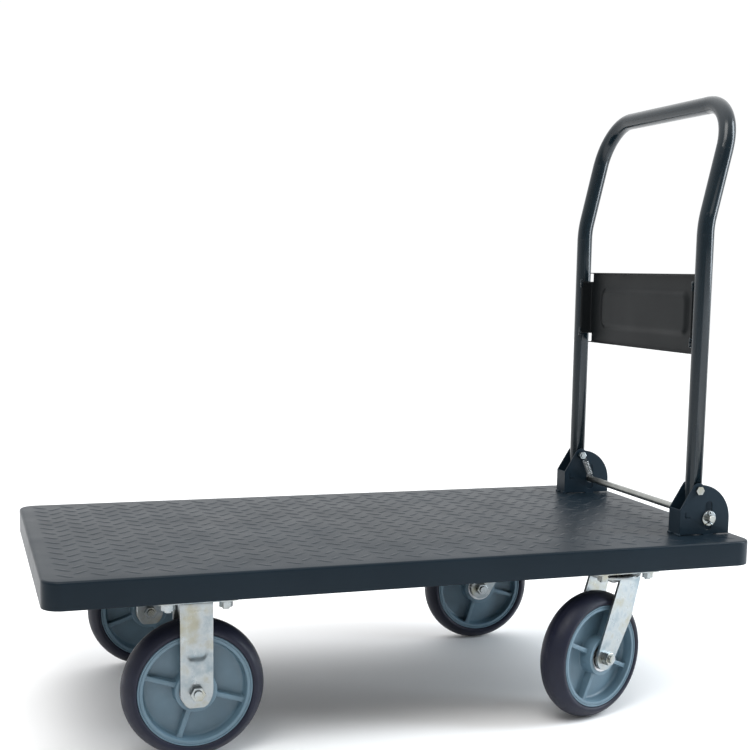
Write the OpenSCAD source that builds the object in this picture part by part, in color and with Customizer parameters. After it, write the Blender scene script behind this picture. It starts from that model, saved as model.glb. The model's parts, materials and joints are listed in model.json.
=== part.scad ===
// Folding platform cart: a pressed steel deck on two fixed and two swivel casters,
// with a tubular push handle that unlocks and folds flat over the deck.
// Millimetres. +X points to the handle end, +Z up, -Y is the near side.
// The origin is on the floor under the middle of the deck.

/* [Deck] */
// Length of the deck
deck_length = 1100; // [900:10:1400]
// Width of the deck
deck_width = 600; // [500:10:760]
// Height of the skirt round the deck
skirt_height = 40; // [34:1:50]
// Sheet thickness of the deck
deck_sheet = 2; // [1.5:0.1:3]
// Plan radius of the deck's corners
deck_corner_r = 28; // [20:1:45]
// Bend radius between the top and the skirt
deck_edge_r = 5; // [4:0.5:8]
// Height of the tread pattern's crests above the sheet
tread_height = 0.5; // [0.3:0.1:1]
// Plain border between the tread field and the deck's edges
tread_border = 12; // [8:1:40]

/* [Deck Frame] */
// Width of a cross channel, which carries one pair of casters
channel_width = 108; // [104:1:109]
// Sheet thickness of the cross channels
channel_sheet = 2.5; // [2:0.1:4]
// Width of a lengthwise stiffener
stiffener_width = 40; // [30:1:60]
// Depth of a lengthwise stiffener
stiffener_depth = 28; // [20:1:32]
// Sheet thickness of the stiffeners
stiffener_sheet = 2; // [1.5:0.1:3]
// Distance between neighbouring stiffeners, centre to centre
stiffener_pitch = 180; // [140:5:200]

/* [Handle] */
// Outside diameter of the handle tube
tube_d = 28; // [25:0.5:32]
// Wall of the handle tube
tube_wall = 1.8; // [1.2:0.1:2.5]
// Distance between the two uprights, centre to centre
handle_spread = 434; // [340:2:460]
// Distance from the deck's end to the handle pivot
pivot_inset = 68.5; // [66:0.5:120]
// Height of the point where the uprights lean back, above the deck
lean_start = 505; // [480:5:600]
// Lean of the upper part of the handle
lean_angle = 13; // [5:1:20]
// Bend radius of that lean
lean_bend_r = 150; // [100:5:200]
// Height of the grip bar's centreline above the deck
grip_height = 704; // [660:2:900]
// Bend radius of the handle's two top corners
corner_bend_r = 80; // [45:1:90]
// Length of tube below the pivot
tube_tail = 41; // [36:0.5:41.5]

/* [Handle Panel] */
// Height of the panel's lower edge above the deck
panel_bottom = 294.5; // [200:1:320]
// Height of the panel
panel_height = 131.5; // [90:1:140]
// Sheet thickness of the panel
panel_sheet = 1.5; // [1:0.1:2]
// Distance of the panel's face behind the tubes' centre plane
panel_setback = 11.5; // [4:0.5:12]
// Depth of the panel's top and bottom lips
panel_lip = 9; // [6:0.5:14]
// Height of the tabs welded to the uprights
tab_height = 102; // [60:1:110]
// Depth of the tabs
tab_depth = 24; // [14:1:24]
// Width of the pressed field, as its distance from each end of the panel
pressing_margin_side = 42; // [30:1:70]
// Distance of the pressed field from the panel's top and bottom
pressing_margin = 28; // [20:1:40]
// Depth of the pressed field
pressing_depth = 5; // [2:0.5:8]
// Width of the pressed field's sloping border
pressing_slope = 10; // [6:1:14]

/* [Handle Brackets] */
// Sheet thickness of the brackets
bracket_sheet = 3; // [2.5:0.5:4]
// Height of the handle pivot above the deck
pivot_height = 74.5; // [72:0.5:78]
// Radius of the bracket's rounded back
bracket_back_r = 57.5; // [56:0.5:60]
// Height of the centre of that rounding above the deck
bracket_back_height = 26; // [24:0.5:30]
// Distance of that centre behind the pivot
bracket_back_offset = 2.5; // [1:0.5:4]
// Radius of the bracket's ear round the pivot bolt
bracket_ear_r = 12; // [11:0.5:13]
// Distance from the pivot to the bracket's front web
bracket_front = 33.5; // [31:0.5:40]
// Height of the front web
web_height = 43; // [38:1:44]
// Width of the tongues that pass through the deck
tongue_width = 18; // [12:1:24]
// Gap between the bracket's sides and the deck, either side of the tongue
bracket_lift = 1.2; // [0.8:0.1:2]

/* [Handle Lock] */
// Diameter of the lock rod
rod_d = 12; // [10:0.5:12]
// Distance from the handle pivot back to the lock rod
rod_setback = 20.3; // [20.3:0.1:22]
// Height of the lock rod above the deck when it is at rest
rod_height = 27.8; // [26:0.1:28]
// Height of the lower end of the rod's slots above the deck
slot_bottom = 7.7; // [6:0.1:9]
// Height of the upper end of the rod's slots above the deck
slot_top = 55.7; // [54:0.1:57]
// Clearance between the rod and its slots, all round
rod_clearance = 0.5; // [0.3:0.1:0.8]
// Length of rod past the bracket's outer sides
rod_overhang = 13; // [12:0.5:18]
// Outside diameter of the rod's washers
rod_washer_d = 25; // [20:1:30]
// Thickness of the rod's washers
rod_washer_t = 2.5; // [2:0.1:3]
// Wire diameter of the cotter pins
cotter_wire = 2.4; // [2:0.1:3]
// Outside diameter of the return springs
spring_d = 13; // [11:0.5:14]
// Wire diameter of the return springs
spring_wire = 1.4; // [1.2:0.1:1.6]
// Number of coils in a return spring
spring_turns = 10; // [8:1:12]

/* [Casters] */
// Height from the floor to a caster's mounting face
caster_height = 240; // [236:1:260]
// Distance from the side of the deck to the casters' centres
caster_inset = 66; // [62:1:90]
// Distance from the plain end of the deck to the fixed axles
fixed_inset = 208; // [150:1:260]
// Distance from the handle end of the deck to the swivel pivots
swivel_inset = 219; // [180:1:280]
// Trail of the swivel casters
trail = 50; // [40:1:60]
// Angle of the near swivel caster at rest
near_swivel_angle = 21; // [-30:1:30]
// Angle of the far swivel caster at rest
far_swivel_angle = -2; // [-30:1:30]
// Length of a mounting plate, along the cart
plate_length = 114; // [110:1:130]
// Width of a mounting plate, across the cart
plate_width = 102; // [98:1:116]
// Thickness of a mounting plate
plate_t = 5; // [4:0.5:6]
// Bolt spacing along the cart
bolt_pitch_x = 80; // [80:1:84]
// Bolt spacing across the cart
bolt_pitch_y = 76; // [76:1:84]
// Diameter of the mounting bolts
bolt_d = 10; // [8:1:10]
// Sheet thickness of the forks
fork_sheet = 4; // [3:0.5:5]
// Width of a fixed fork's legs
fixed_leg_width = 46; // [40:1:54]
// Diameter of the axle bolts
axle_d = 12; // [10:1:14]

/* [Wheels] */
// Diameter of a wheel
wheel_d = 203.2; // [200:0.4:203.6]
// Width of the tyre's tread
tyre_width = 50; // [40:1:52]
// Radius of the tyre's crown across its width
tyre_crown_r = 29.6; // [28:0.1:40]
// Radius of the seat where the tyre meets the core
tyre_seat_r = 82; // [78:0.5:86]
// Radial thickness of the core's rim
rim_t = 9; // [7:0.5:12]
// Width of the core's rim
rim_width = 47; // [38:1:48]
// Thickness of the core's web
web_t = 9; // [6:0.5:14]
// Diameter of the hub
hub_d = 60; // [56:1:66]
// Width of the hub
hub_width = 54; // [50:1:55]
// Number of ribs on each side
rib_count = 4; // [3:1:8]
// Thickness of a rib
rib_t = 8; // [5:0.5:10]
// Width of the core across the ribs
rib_width = 38; // [26:1:42]
// Outside diameter of the wheel bearings
bearing_d = 47; // [40:1:50]
// Width of a wheel bearing
bearing_w = 14; // [10:1:16]
// Outside diameter of the axle sleeve
sleeve_d = 20; // [18:1:24]

/* [Fits] */
// Radial clearance of a part that turns on a pin or sleeve
running_gap = 0.05; // [0.02:0.01:0.08]
// Gap between parts that move past each other
side_gap = 0.3; // [0.2:0.05:0.5]
// Gap on each side of an upright between its bracket's sides
upright_gap = 1; // [0.5:0.1:1.5]
// Radial clearance of the holes that bolts pass through
bolt_gap = 0.5; // [0.3:0.1:0.8]

/* [Hidden] */
$fn = 64;

near = -1;
far = 1;
eps = 0.01;

// Colours
paint = [0.15, 0.18, 0.21];
panel_paint = [0.20, 0.21, 0.22];
zinc = [0.70, 0.73, 0.75];
rod_steel = [0.52, 0.53, 0.51];
rubber_black = [0.10, 0.10, 0.11];
core_plastic = [0.38, 0.47, 0.53];
bearing_steel = [0.60, 0.61, 0.63];

// Heights and places that several parts share
deck_top = caster_height + skirt_height;
deck_under = deck_top - deck_sheet;
pivot_x = deck_length / 2 - pivot_inset;
pivot_z = deck_top + pivot_height;
upright_y = handle_spread / 2;
rod_x = pivot_x + rod_setback;
rod_z = deck_top + rod_height;
fixed_x = -deck_length / 2 + fixed_inset;
swivel_x = deck_length / 2 - swivel_inset;
caster_y = deck_width / 2 - caster_inset;
wheel_r = wheel_d / 2;
plate_under = caster_height - plate_t;

// Handle
tube_r = tube_d / 2;
tube_bore_r = tube_r - tube_wall;
lean_z = deck_top + lean_start;
lean_tangent = lean_bend_r * tan(lean_angle / 2);
lean_length = (grip_height - lean_start) / cos(lean_angle);
pivot_bolt_d = 8;
pivot_head_af = 13;
pivot_head_h = 5.3;
pivot_nut_h = 6.8;
bush_d = 12;
collar_rise = 0.3;
tab_relief = 6;

// Brackets, seen along Y, measured from the foot of the pivot
bracket_inner = tube_r + upright_gap;
bracket_outer = bracket_inner + bracket_sheet;
stop_tab = 8;
stop_tab_bottom = 30;
stop_slit = 1.2;
pivot_grip = 2 * side_gap + spring_wire;

// Lock rod and return springs
rod_chamfer = 1;
washer_y = upright_y + bracket_outer + side_gap;
cotter_y = washer_y + rod_washer_t + cotter_wire / 2 + 0.3;
cotter_leg = 7;
cotter_spread = 125;
cotter_reach = 0.6;
hook_gap = 0.3;
hook_y = bracket_outer + side_gap + spring_wire / 2;
spring_y = bracket_outer + spring_d / 2 + 1.5;
spring_drop = spring_y - hook_y;
pivot_nut_corner = pivot_head_af / 2 / cos(30) + spring_wire;

// Casters
fork_inner = hub_width / 2 + 2.5;
fork_outer = fork_inner + fork_sheet;
axle_nut_af = 19;
axle_nut_h = 10;
axle_head_h = 7.5;
axle_end = 4;
plate_corner_r = 8;
leg_below_axle = 22;
leg_foot_width = 26;
leg_taper_height = 24;
leg_recess_width = 31;
leg_recess_depth = 1;
leg_recess_end = 44.5;
bolt_head_af = 17;
bolt_head_h = 6.4;
bolt_nut_h = 8;
washer_d = 20;
washer_t = 2;
bolt_end = 3;
ball_d = 8;
ball_pcd = 56;
ball_count = 18;
ball_gap = 0.06;
small_ball_d = 5;
small_ball_pcd = 32;
small_ball_count = 16;
crown_d = 86;
ball_sink = 0.4;
crown_top = plate_under - ball_d + ball_sink;
crown_under = crown_top - fork_sheet;
king_d = 14;
king_head_d = 22;
king_cap_d = 44;
king_cap_t = 3;
king_cap_top = crown_under - small_ball_d + ball_sink;
king_tail = 5;
king_flare = 6;
countersink = 4;
ball_z = (plate_under + crown_top) / 2;
small_ball_z = (crown_under + king_cap_top) / 2;
swivel_foot_r = 20;
swivel_knee = [8, 58];
swivel_crown_front = 27;
swivel_crown_back = 22;

// Wheels
key_depth = 3;
key_width = 16;
web_flare = 6;
bearing_rest = hub_width - 2 * bearing_w;
bearing_step = 4;
seal_inset = 4;
seal_depth = 0.8;

// Angle of the first rib on each wheel at rest
rib_angle_fixed_near = -18;
rib_angle_fixed_far = 20;
rib_angle_swivel_near = -24;
rib_angle_swivel_far = -17;

module rounded_rect(l, w, r) {
  square([l - 2 * r, w], center = true);
  square([l, w - 2 * r], center = true);
  for (x = [-1, 1], y = [-1, 1])
    translate([x * (l / 2 - r), y * (w / 2 - r)]) circle(r);
}

// A slab with round plan corners and a round top edge
module soft_slab(l, w, z0, z1, r, edge) {
  translate([0, 0, z0]) linear_extrude(z1 - edge - z0) rounded_rect(l, w, r);
  translate([0, 0, z0]) linear_extrude(z1 - z0)
    rounded_rect(l - 2 * edge, w - 2 * edge, r - edge);
  for (s = [-1, 1]) {
    translate([0, s * (w / 2 - edge), z1 - edge]) rotate([0, 90, 0])
      cylinder(h = l - 2 * r, r = edge, center = true);
    translate([s * (l / 2 - edge), 0, z1 - edge]) rotate([90, 0, 0])
      cylinder(h = w - 2 * r, r = edge, center = true);
  }
  for (x = [-1, 1], y = [-1, 1])
    translate([x * (l / 2 - r), y * (w / 2 - r), z1 - edge])
      rotate_extrude() translate([r - edge, 0]) circle(edge);
}

// A channel along X, open at the top, seen as a U
module channel(length, width, depth, sheet) {
  difference() {
    translate([-length / 2, -width / 2, 0]) cube([length, width, depth]);
    translate([-length / 2 - 1, -width / 2 + sheet, sheet])
      cube([length + 2, width - 2 * sheet, depth]);
  }
}

module hex(af, h) {
  cylinder(h = h, d = af / cos(30), $fn = 6);
}

module ring(outer_d, inner_d, h) {
  difference() {
    cylinder(h = h, d = outer_d);
    translate([0, 0, -1]) cylinder(h = h + 2, d = inner_d);
  }
}

module at_upright(side) {
  translate([pivot_x, side * upright_y, deck_top]) children();
}

module at_fixed(side) {
  translate([fixed_x, side * caster_y, 0]) children();
}

module at_swivel(side) {
  translate([swivel_x, side * caster_y, 0]) children();
}

// Turned with the caster, with the trailing side towards -X
module on_swivel(side) {
  angle = side == near ? near_swivel_angle : far_swivel_angle;
  at_swivel(side) rotate([0, 0, angle]) children();
}

// Places its children on the wheel's centre, with Z along the axle towards -Y
module on_axle() {
  translate([0, 0, wheel_r]) rotate([90, 0, 0]) children();
}

module deck() {
  field_end = pivot_x - bracket_front - tread_border;
  field_start = -deck_length / 2 + tread_border;
  color(paint) difference() {
    union() {
      difference() {
        soft_slab(deck_length, deck_width, caster_height, deck_top, deck_corner_r, deck_edge_r);
        soft_slab(deck_length - 2 * deck_sheet, deck_width - 2 * deck_sheet,
          caster_height - 1, deck_under, deck_corner_r - deck_sheet, deck_edge_r - deck_sheet);
      }
      translate([field_start, -deck_width / 2 + tread_border, deck_top - eps])
        cube([field_end - field_start, deck_width - 2 * tread_border, tread_height + eps]);
    }
    for (side = [near, far]) at_upright(side) tongue_slots();
  }
}

// The slots that a bracket's two tongues pass through
module tongue_slots() {
  for (s = [-1, 1])
    translate([rod_setback - tongue_width / 2 - side_gap,
      s * (bracket_inner + bracket_sheet / 2) - bracket_sheet / 2 - side_gap, -deck_sheet - 1])
      cube([tongue_width + 2 * side_gap, bracket_sheet + 2 * side_gap, deck_sheet + 2]);
}

module cross_channel(x) {
  color(paint) difference() {
    translate([x, 0, caster_height]) rotate([0, 0, 90])
      channel(deck_width - 2 * deck_edge_r, channel_width, deck_under - caster_height, channel_sheet);
    for (side = [near, far])
      translate([x, side * caster_y, caster_height]) bolt_holes();
  }
}

// Holes for a caster's four bolts
module bolt_holes() {
  for (x = [-1, 1], y = [-1, 1])
    translate([x * bolt_pitch_x / 2, y * bolt_pitch_y / 2, -plate_t - 1])
      cylinder(h = plate_t + channel_sheet + 2, d = bolt_d + 2 * bolt_gap);
}

module stiffener(y) {
  start = fixed_x + channel_width / 2;
  end = swivel_x - channel_width / 2;
  color(paint) translate([(start + end) / 2, y, deck_under - stiffener_depth])
    channel(end - start, stiffener_width, stiffener_depth, stiffener_sheet);
}

// Side view of a bracket's cheek, in the plane of X and Z
module cheek_outline() {
  back_x = bracket_back_offset + bracket_back_r;
  // angle of the slope that runs from the front web up to the ear
  run = bracket_front;
  rise = pivot_height - web_height;
  reach = sqrt(run * run + rise * rise);
  slope = atan2(rise, run) + asin(bracket_ear_r / reach);
  translate([-bracket_front, bracket_lift])
    square([back_x + bracket_front, bracket_back_height - bracket_lift]);
  translate([-bracket_front, bracket_lift])
    square([bracket_front + bracket_back_offset, web_height - bracket_lift]);
  translate([bracket_back_offset, bracket_back_height]) intersection() {
    circle(bracket_back_r);
    square([bracket_back_r, bracket_back_r]);
  }
  translate([0, pivot_height]) circle(bracket_ear_r);
  polygon([[-bracket_front, web_height], [bracket_back_offset + 1, web_height - 1],
    [bracket_back_offset + 1, bracket_back_height + bracket_back_r - 1], [0, pivot_height],
    [-bracket_ear_r * sin(slope), pivot_height + bracket_ear_r * cos(slope)]]);
  translate([0, web_height - 1]) square([bracket_back_offset, pivot_height + bracket_ear_r - web_height - 2]);
  translate([rod_setback - tongue_width / 2, -deck_sheet])
    square([tongue_width, deck_sheet + bracket_lift + 1]);
}

module cheek(side) {
  difference() {
    translate([0, side * (bracket_inner + bracket_sheet / 2), 0]) rotate([90, 0, 0])
      linear_extrude(bracket_sheet, center = true) cheek_outline();
    translate([0, side * bracket_outer, pivot_height]) rotate([90, 0, 0])
      cylinder(h = 3 * bracket_sheet, d = pivot_bolt_d + 2 * rod_clearance, center = true);
    rod_slot(side * bracket_outer);
    stop_slits(side * bracket_outer);
  }
}

// The upright slot in which the lock rod slides
module rod_slot(y) {
  slot_d = rod_d + 2 * rod_clearance;
  for (z = [slot_bottom + slot_d / 2, slot_top - slot_d / 2])
    translate([rod_setback, y, z]) rotate([90, 0, 0])
      cylinder(h = 3 * bracket_sheet, d = slot_d, center = true);
  translate([rod_setback - slot_d / 2, y - 1.5 * bracket_sheet, slot_bottom + slot_d / 2])
    cube([slot_d, 3 * bracket_sheet, slot_top - slot_bottom - slot_d]);
}

// The L-shaped slit round a stop tab that is pressed inwards
module stop_slits(y) {
  x0 = -tube_r - side_gap - stop_tab;
  translate([x0 - stop_slit, y - 1.5 * bracket_sheet, stop_tab_bottom - stop_slit])
    cube([stop_slit, 3 * bracket_sheet, stop_tab + stop_slit]);
  translate([x0 - stop_slit, y - 1.5 * bracket_sheet, stop_tab_bottom - stop_slit])
    cube([stop_tab + stop_slit, 3 * bracket_sheet, stop_slit]);
}

module bracket(side) {
  x0 = -tube_r - side_gap - stop_tab;
  color(paint) at_upright(side) {
    for (s = [-1, 1]) {
      cheek(s);
      translate([x0, s * (bracket_inner - stop_tab / 2) - stop_tab / 2 + s * eps, stop_tab_bottom])
        cube([stop_tab, stop_tab, stop_tab]);
    }
    translate([-bracket_front, -bracket_outer, 0])
      cube([bracket_sheet, 2 * bracket_outer, web_height]);
  }
}

// Bolts and nuts point along Y, with the head on the outer side
module pivot_bolts() {
  shank = 2 * bracket_outer + pivot_grip + pivot_nut_h + 2;
  color(zinc) for (side = [near, far])
    translate([pivot_x, side * (upright_y + bracket_outer), pivot_z]) rotate([side * 90, 0, 0]) {
      cylinder(h = shank, d = pivot_bolt_d);
      translate([0, 0, -pivot_head_h]) hex(pivot_head_af, pivot_head_h);
    }
}

module pivot_nuts() {
  color(zinc) for (side = [near, far])
    translate([pivot_x, side * (upright_y - bracket_outer - pivot_grip), pivot_z])
      rotate([side * 90, 0, 0]) difference() {
        hex(pivot_head_af, pivot_nut_h);
        translate([0, 0, -1]) cylinder(h = pivot_nut_h + 2, d = pivot_bolt_d);
      }
}

// A hair-thin ring that joins a straight length of tube to a bend
module collar(r) {
  cylinder(h = 0.4, r = r + collar_rise, center = true);
}

// One half of the handle's centreline swept with a disc of radius r, from the upright to the middle
module half_handle(r, tail) {
  straight_top = lean_z - lean_tangent;
  upper = lean_length - lean_tangent - corner_bend_r;
  translate([0, 0, pivot_z - tail]) cylinder(h = straight_top - pivot_z + tail, r = r);
  translate([0, 0, straight_top]) collar(r);
  translate([lean_bend_r, 0, straight_top]) rotate([90, 0, 0]) rotate([0, 0, 180 - lean_angle])
    rotate_extrude(angle = lean_angle) translate([lean_bend_r, 0]) circle(r);
  translate([0, 0, lean_z]) rotate([0, lean_angle, 0]) {
    translate([0, 0, lean_tangent]) cylinder(h = upper, r = r);
    translate([0, 0, lean_tangent]) collar(r);
    translate([0, 0, lean_tangent + upper]) collar(r);
    translate([0, corner_bend_r, lean_length - corner_bend_r]) rotate([0, -90, 0]) rotate([0, 0, -90])
      rotate_extrude(angle = 90) translate([corner_bend_r, 0]) circle(r);
    translate([0, corner_bend_r, lean_length]) rotate([-90, 0, 0]) {
      cylinder(h = upright_y - corner_bend_r + eps, r = r);
      collar(r);
    }
  }
}

module handle_sweep(r, tail) {
  for (side = [near, far]) translate([pivot_x, side * upright_y, 0])
    mirror([0, side == far ? 1 : 0, 0]) half_handle(r, tail);
}

module handle_tube() {
  color(paint) difference() {
    handle_sweep(tube_r, tube_tail);
    handle_sweep(tube_bore_r, tube_tail + 1);
    for (side = [near, far]) translate([pivot_x, side * upright_y, pivot_z])
      rotate([90, 0, 0]) cylinder(h = tube_d + 2, d = bush_d, center = true);
  }
}

module pivot_bushes() {
  color(zinc) for (side = [near, far])
    translate([pivot_x, side * upright_y + bracket_inner - side_gap, pivot_z]) rotate([90, 0, 0])
      ring(bush_d, pivot_bolt_d + 2 * running_gap, 2 * (bracket_inner - side_gap));
}

// The pressed field: a low pan whose open side faces away from the deck
module pressing(inset, depth) {
  w = handle_spread - tube_d - 2 * pressing_margin_side - 2 * inset;
  h = panel_height - 2 * pressing_margin - 2 * inset;
  rotate([0, -90, 0]) linear_extrude(depth, slices = 1, $fn = 12,
    scale = [(h - 2 * pressing_slope) / h, (w - 2 * pressing_slope) / w])
    square([h, w], center = true);
}

module handle_panel() {
  face_x = pivot_x + panel_setback;
  half_width = upright_y - tube_r;
  middle_z = deck_top + panel_bottom + panel_height / 2;
  color(panel_paint) {
    difference() {
      union() {
        translate([face_x, -half_width, middle_z - panel_height / 2])
          cube([panel_sheet, 2 * half_width, panel_height]);
        translate([face_x + eps, 0, middle_z]) pressing(0, pressing_depth + eps);
      }
      translate([face_x + panel_sheet + eps, 0, middle_z])
        pressing(panel_sheet, pressing_depth + eps);
      // the corners are cut back beside the tabs
      for (s = [-1, 1], t = [-1, 1])
        translate([face_x - 1, s * half_width - tab_relief, middle_z + t * (panel_height + tab_height) / 4
          - (panel_height - tab_height) / 4])
          cube([panel_sheet + 2, 2 * tab_relief, (panel_height - tab_height) / 2]);
    }
    for (t = [0, 1])
      translate([face_x - panel_lip, -half_width + tab_relief,
        middle_z - panel_height / 2 + t * (panel_height - panel_sheet)])
        cube([panel_lip + eps, 2 * (half_width - tab_relief), panel_sheet]);
    for (s = [0, 1])
      translate([face_x + panel_sheet - tab_depth, s * (2 * half_width - panel_sheet) - half_width,
        middle_z - tab_height / 2])
        cube([tab_depth, panel_sheet, tab_height]);
  }
}

module lock_rod() {
  half = upright_y + bracket_outer + rod_overhang;
  color(rod_steel) difference() {
    translate([rod_x, 0, rod_z]) rotate([90, 0, 0]) union() {
      cylinder(h = 2 * (half - rod_chamfer), d = rod_d, center = true);
      for (s = [-1, 1]) translate([0, 0, s * (half - rod_chamfer)]) mirror([0, 0, s < 0 ? 1 : 0])
        cylinder(h = rod_chamfer, d1 = rod_d, d2 = rod_d - 2 * rod_chamfer);
    }
    for (side = [near, far])
      translate([rod_x, side * cotter_y, rod_z]) cylinder(h = rod_d + 2, d = cotter_wire + 0.4, center = true);
  }
}

module lock_rod_washers() {
  color(zinc) for (side = [near, far])
    translate([rod_x, side * (washer_y + rod_washer_t / 2), rod_z]) rotate([90, 0, 0])
      translate([0, 0, -rod_washer_t / 2]) ring(rod_washer_d, rod_d + 0.4, rod_washer_t);
}

// A split pin: a round eye above the rod and two legs bent apart below it
module cotter_pins() {
  half = rod_d / 2 + cotter_reach;
  color(zinc) for (side = [near, far])
    translate([rod_x, side * cotter_y, rod_z]) {
      translate([0, 0, -half]) cylinder(h = 2 * half, d = cotter_wire);
      translate([0, 0, half + cotter_wire]) rotate([90, 0, 0])
        rotate_extrude() translate([cotter_wire, 0]) circle(d = cotter_wire / 1.3);
      for (s = [-1, 1]) translate([0, 0, -half]) rotate([0, s * cotter_spread, 0])
        cylinder(h = cotter_leg, d = cotter_wire / 1.3);
    }
}

// Points along the return spring's wire, in a frame with Z down the spring's own axis:
// a hook over the pivot bolt, a leg past its nut, the coils and a hook round the lock rod
function spring_path(span, r, hook_top, hook_low, turns) = let(
  steps = 12, lead = 150,
  body_start = pivot_nut_corner + spring_wire, body_end = span - hook_low - 2 * spring_wire) concat(
  [for (a = [-60 : 30 : 180]) [hook_top * cos(a), spring_drop, -hook_top * sin(a)]],
  [[-hook_top, spring_drop, pivot_nut_corner]],
  [for (i = [0 : turns * steps + 5]) let(a = lead - 360 * i / steps, k = i / (turns * steps + 5))
    [r * cos(a), r * sin(a), body_start + k * (body_end - body_start)]],
  [for (a = [0 : 30 : 210]) [hook_low * cos(a), spring_drop, span + hook_low * sin(a)]]);

// A round wire along a list of points
module wire(points, d, sides = 8) {
  n = len(points);
  up = [0.35, 0.91, 0.22];
  tangent = [for (i = [0 : n - 1]) let(t = points[min(i + 1, n - 1)] - points[max(i - 1, 0)]) t / norm(t)];
  rings = [for (i = [0 : n - 1]) let(
    side_raw = cross(tangent[i], up), u = side_raw / norm(side_raw), v = cross(tangent[i], u))
    for (k = [0 : sides - 1]) points[i] + d / 2 * (cos(360 * k / sides) * u + sin(360 * k / sides) * v)];
  walls = [for (i = [0 : n - 2], k = [0 : sides - 1], half = [0, 1])
    let(m = (k + 1) % sides, a = i * sides + k, b = a + sides, c = b + m - k, d = a + m - k)
    half == 0 ? [a, b, c] : [a, c, d]];
  polyhedron(rings, concat([[for (k = [0 : sides - 1]) k]], walls,
    [[for (k = [sides - 1 : -1 : 0]) (n - 1) * sides + k]]), convexity = 10);
}

module spring(side) {
  span = norm([rod_setback, pivot_height - rod_height]);
  lean = atan2(rod_setback, pivot_height - rod_height);
  color(zinc) translate([pivot_x, side * (upright_y - spring_y), pivot_z])
    mirror([0, side == far ? 1 : 0, 0]) rotate([0, 180 - lean, 0])
      wire(spring_path(span, (spring_d - spring_wire) / 2, pivot_bolt_d / 2 + spring_wire / 2 + hook_gap,
        rod_d / 2 + spring_wire / 2 + hook_gap, spring_turns), spring_wire);
}

module plate_blank() {
  difference() {
    translate([0, 0, plate_under]) linear_extrude(plate_t)
      rounded_rect(plate_length, plate_width, plate_corner_r);
    translate([0, 0, caster_height]) bolt_holes();
  }
}

module fixed_plate(side) {
  color(zinc) at_fixed(side) plate_blank();
}

// The swivel plate has a ball groove below and a countersunk hole for the king pin
module swivel_plate(side) {
  color(zinc) at_swivel(side) difference() {
    plate_blank();
    ball_groove(ball_z, ball_pcd, ball_d);
    translate([0, 0, plate_under - 1]) cylinder(h = plate_t + 2, d = king_d);
    translate([0, 0, caster_height - countersink]) cylinder(h = countersink, d1 = king_d, d2 = king_head_d);
    translate([0, 0, caster_height - eps]) cylinder(h = 1, d = king_head_d);
  }
}

module ball_groove(z, pcd, d) {
  translate([0, 0, z]) rotate_extrude() translate([pcd / 2, 0]) circle(d / 2 + ball_gap);
}

module at_all_bolts() {
  for (side = [near, far]) {
    at_fixed(side) bolt_circle() children();
    at_swivel(side) bolt_circle() children();
  }
}

module bolt_circle() {
  for (x = [-1, 1], y = [-1, 1])
    translate([x * bolt_pitch_x / 2, y * bolt_pitch_y / 2, 0]) children();
}

module caster_bolts() {
  tail = plate_under - washer_t - bolt_nut_h - bolt_end;
  color(zinc) at_all_bolts() {
    translate([0, 0, tail]) cylinder(h = caster_height + channel_sheet - tail, d = bolt_d);
    translate([0, 0, caster_height + channel_sheet]) hex(bolt_head_af, bolt_head_h);
  }
}

module caster_washers() {
  color(zinc) at_all_bolts() translate([0, 0, plate_under - washer_t])
    ring(washer_d, bolt_d + 2 * running_gap, washer_t);
}

module caster_nuts() {
  color(zinc) at_all_bolts() translate([0, 0, plate_under - washer_t - bolt_nut_h]) difference() {
    hex(bolt_head_af, bolt_nut_h);
    translate([0, 0, -1]) cylinder(h = bolt_nut_h + 2, d = bolt_d);
  }
}

module axle_holes() {
  on_axle() cylinder(h = 4 * fork_outer, d = axle_d + 2 * bolt_gap, center = true);
}

module fixed_fork(side) {
  foot = wheel_r - leg_below_axle;
  half = fixed_leg_width / 2;
  color(zinc) at_fixed(side) difference() {
    union() {
      for (s = [-1, 1])
        translate([0, s * (fork_inner + fork_sheet / 2), 0]) rotate([90, 0, 0])
          linear_extrude(fork_sheet, center = true)
            polygon([[-leg_foot_width / 2, foot], [leg_foot_width / 2, foot], [half, foot + leg_taper_height],
              [half, plate_under - fork_sheet], [-half, plate_under - fork_sheet],
              [-half, foot + leg_taper_height]]);
      fork_roof(half, plate_under);
    }
    axle_holes();
    for (s = [-1, 1]) leg_recess(s);
  }
}

// The roof between the legs, with round bends into them
module fork_roof(half, top) {
  translate([-half, -fork_outer + fork_sheet, top - fork_sheet])
    cube([2 * half, 2 * (fork_outer - fork_sheet), fork_sheet]);
  for (s = [-1, 1]) translate([0, s * fork_inner, top - fork_sheet]) rotate([0, 90, 0])
    intersection() {
      cylinder(h = 2 * half, r = fork_sheet, center = true);
      translate([-fork_sheet, s > 0 ? 0 : -fork_sheet, -half]) cube([fork_sheet, fork_sheet, 2 * half]);
    }
}

// The shallow panel stamped into the outside of a fixed leg
module leg_recess(s) {
  end_z = wheel_r + leg_recess_end + leg_recess_width / 2;
  top_z = plate_under - 2 * fork_sheet;
  translate([0, s * fork_outer, end_z]) rotate([90, 0, 0])
    cylinder(h = 2 * leg_recess_depth, d = leg_recess_width, center = true);
  translate([-leg_recess_width / 2, s * fork_outer - leg_recess_depth, end_z])
    cube([leg_recess_width, 2 * leg_recess_depth, top_z - end_z]);
}

module swivel_fork(side) {
  color(zinc) on_swivel(side) difference() {
    union() {
      translate([0, 0, crown_under]) cylinder(h = fork_sheet, d = crown_d);
      for (s = [-1, 1])
        translate([-trail, s * (fork_inner + fork_sheet / 2), wheel_r]) rotate([90, 0, 0])
          linear_extrude(fork_sheet, center = true) swivel_leg_outline();
    }
    translate([-trail, 0, 0]) axle_holes();
    ball_groove(ball_z, ball_pcd, ball_d);
    ball_groove(small_ball_z, small_ball_pcd, small_ball_d);
    translate([0, 0, crown_under - 1]) cylinder(h = fork_sheet + 2, d = king_d + 2 * side_gap);
  }
}

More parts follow.
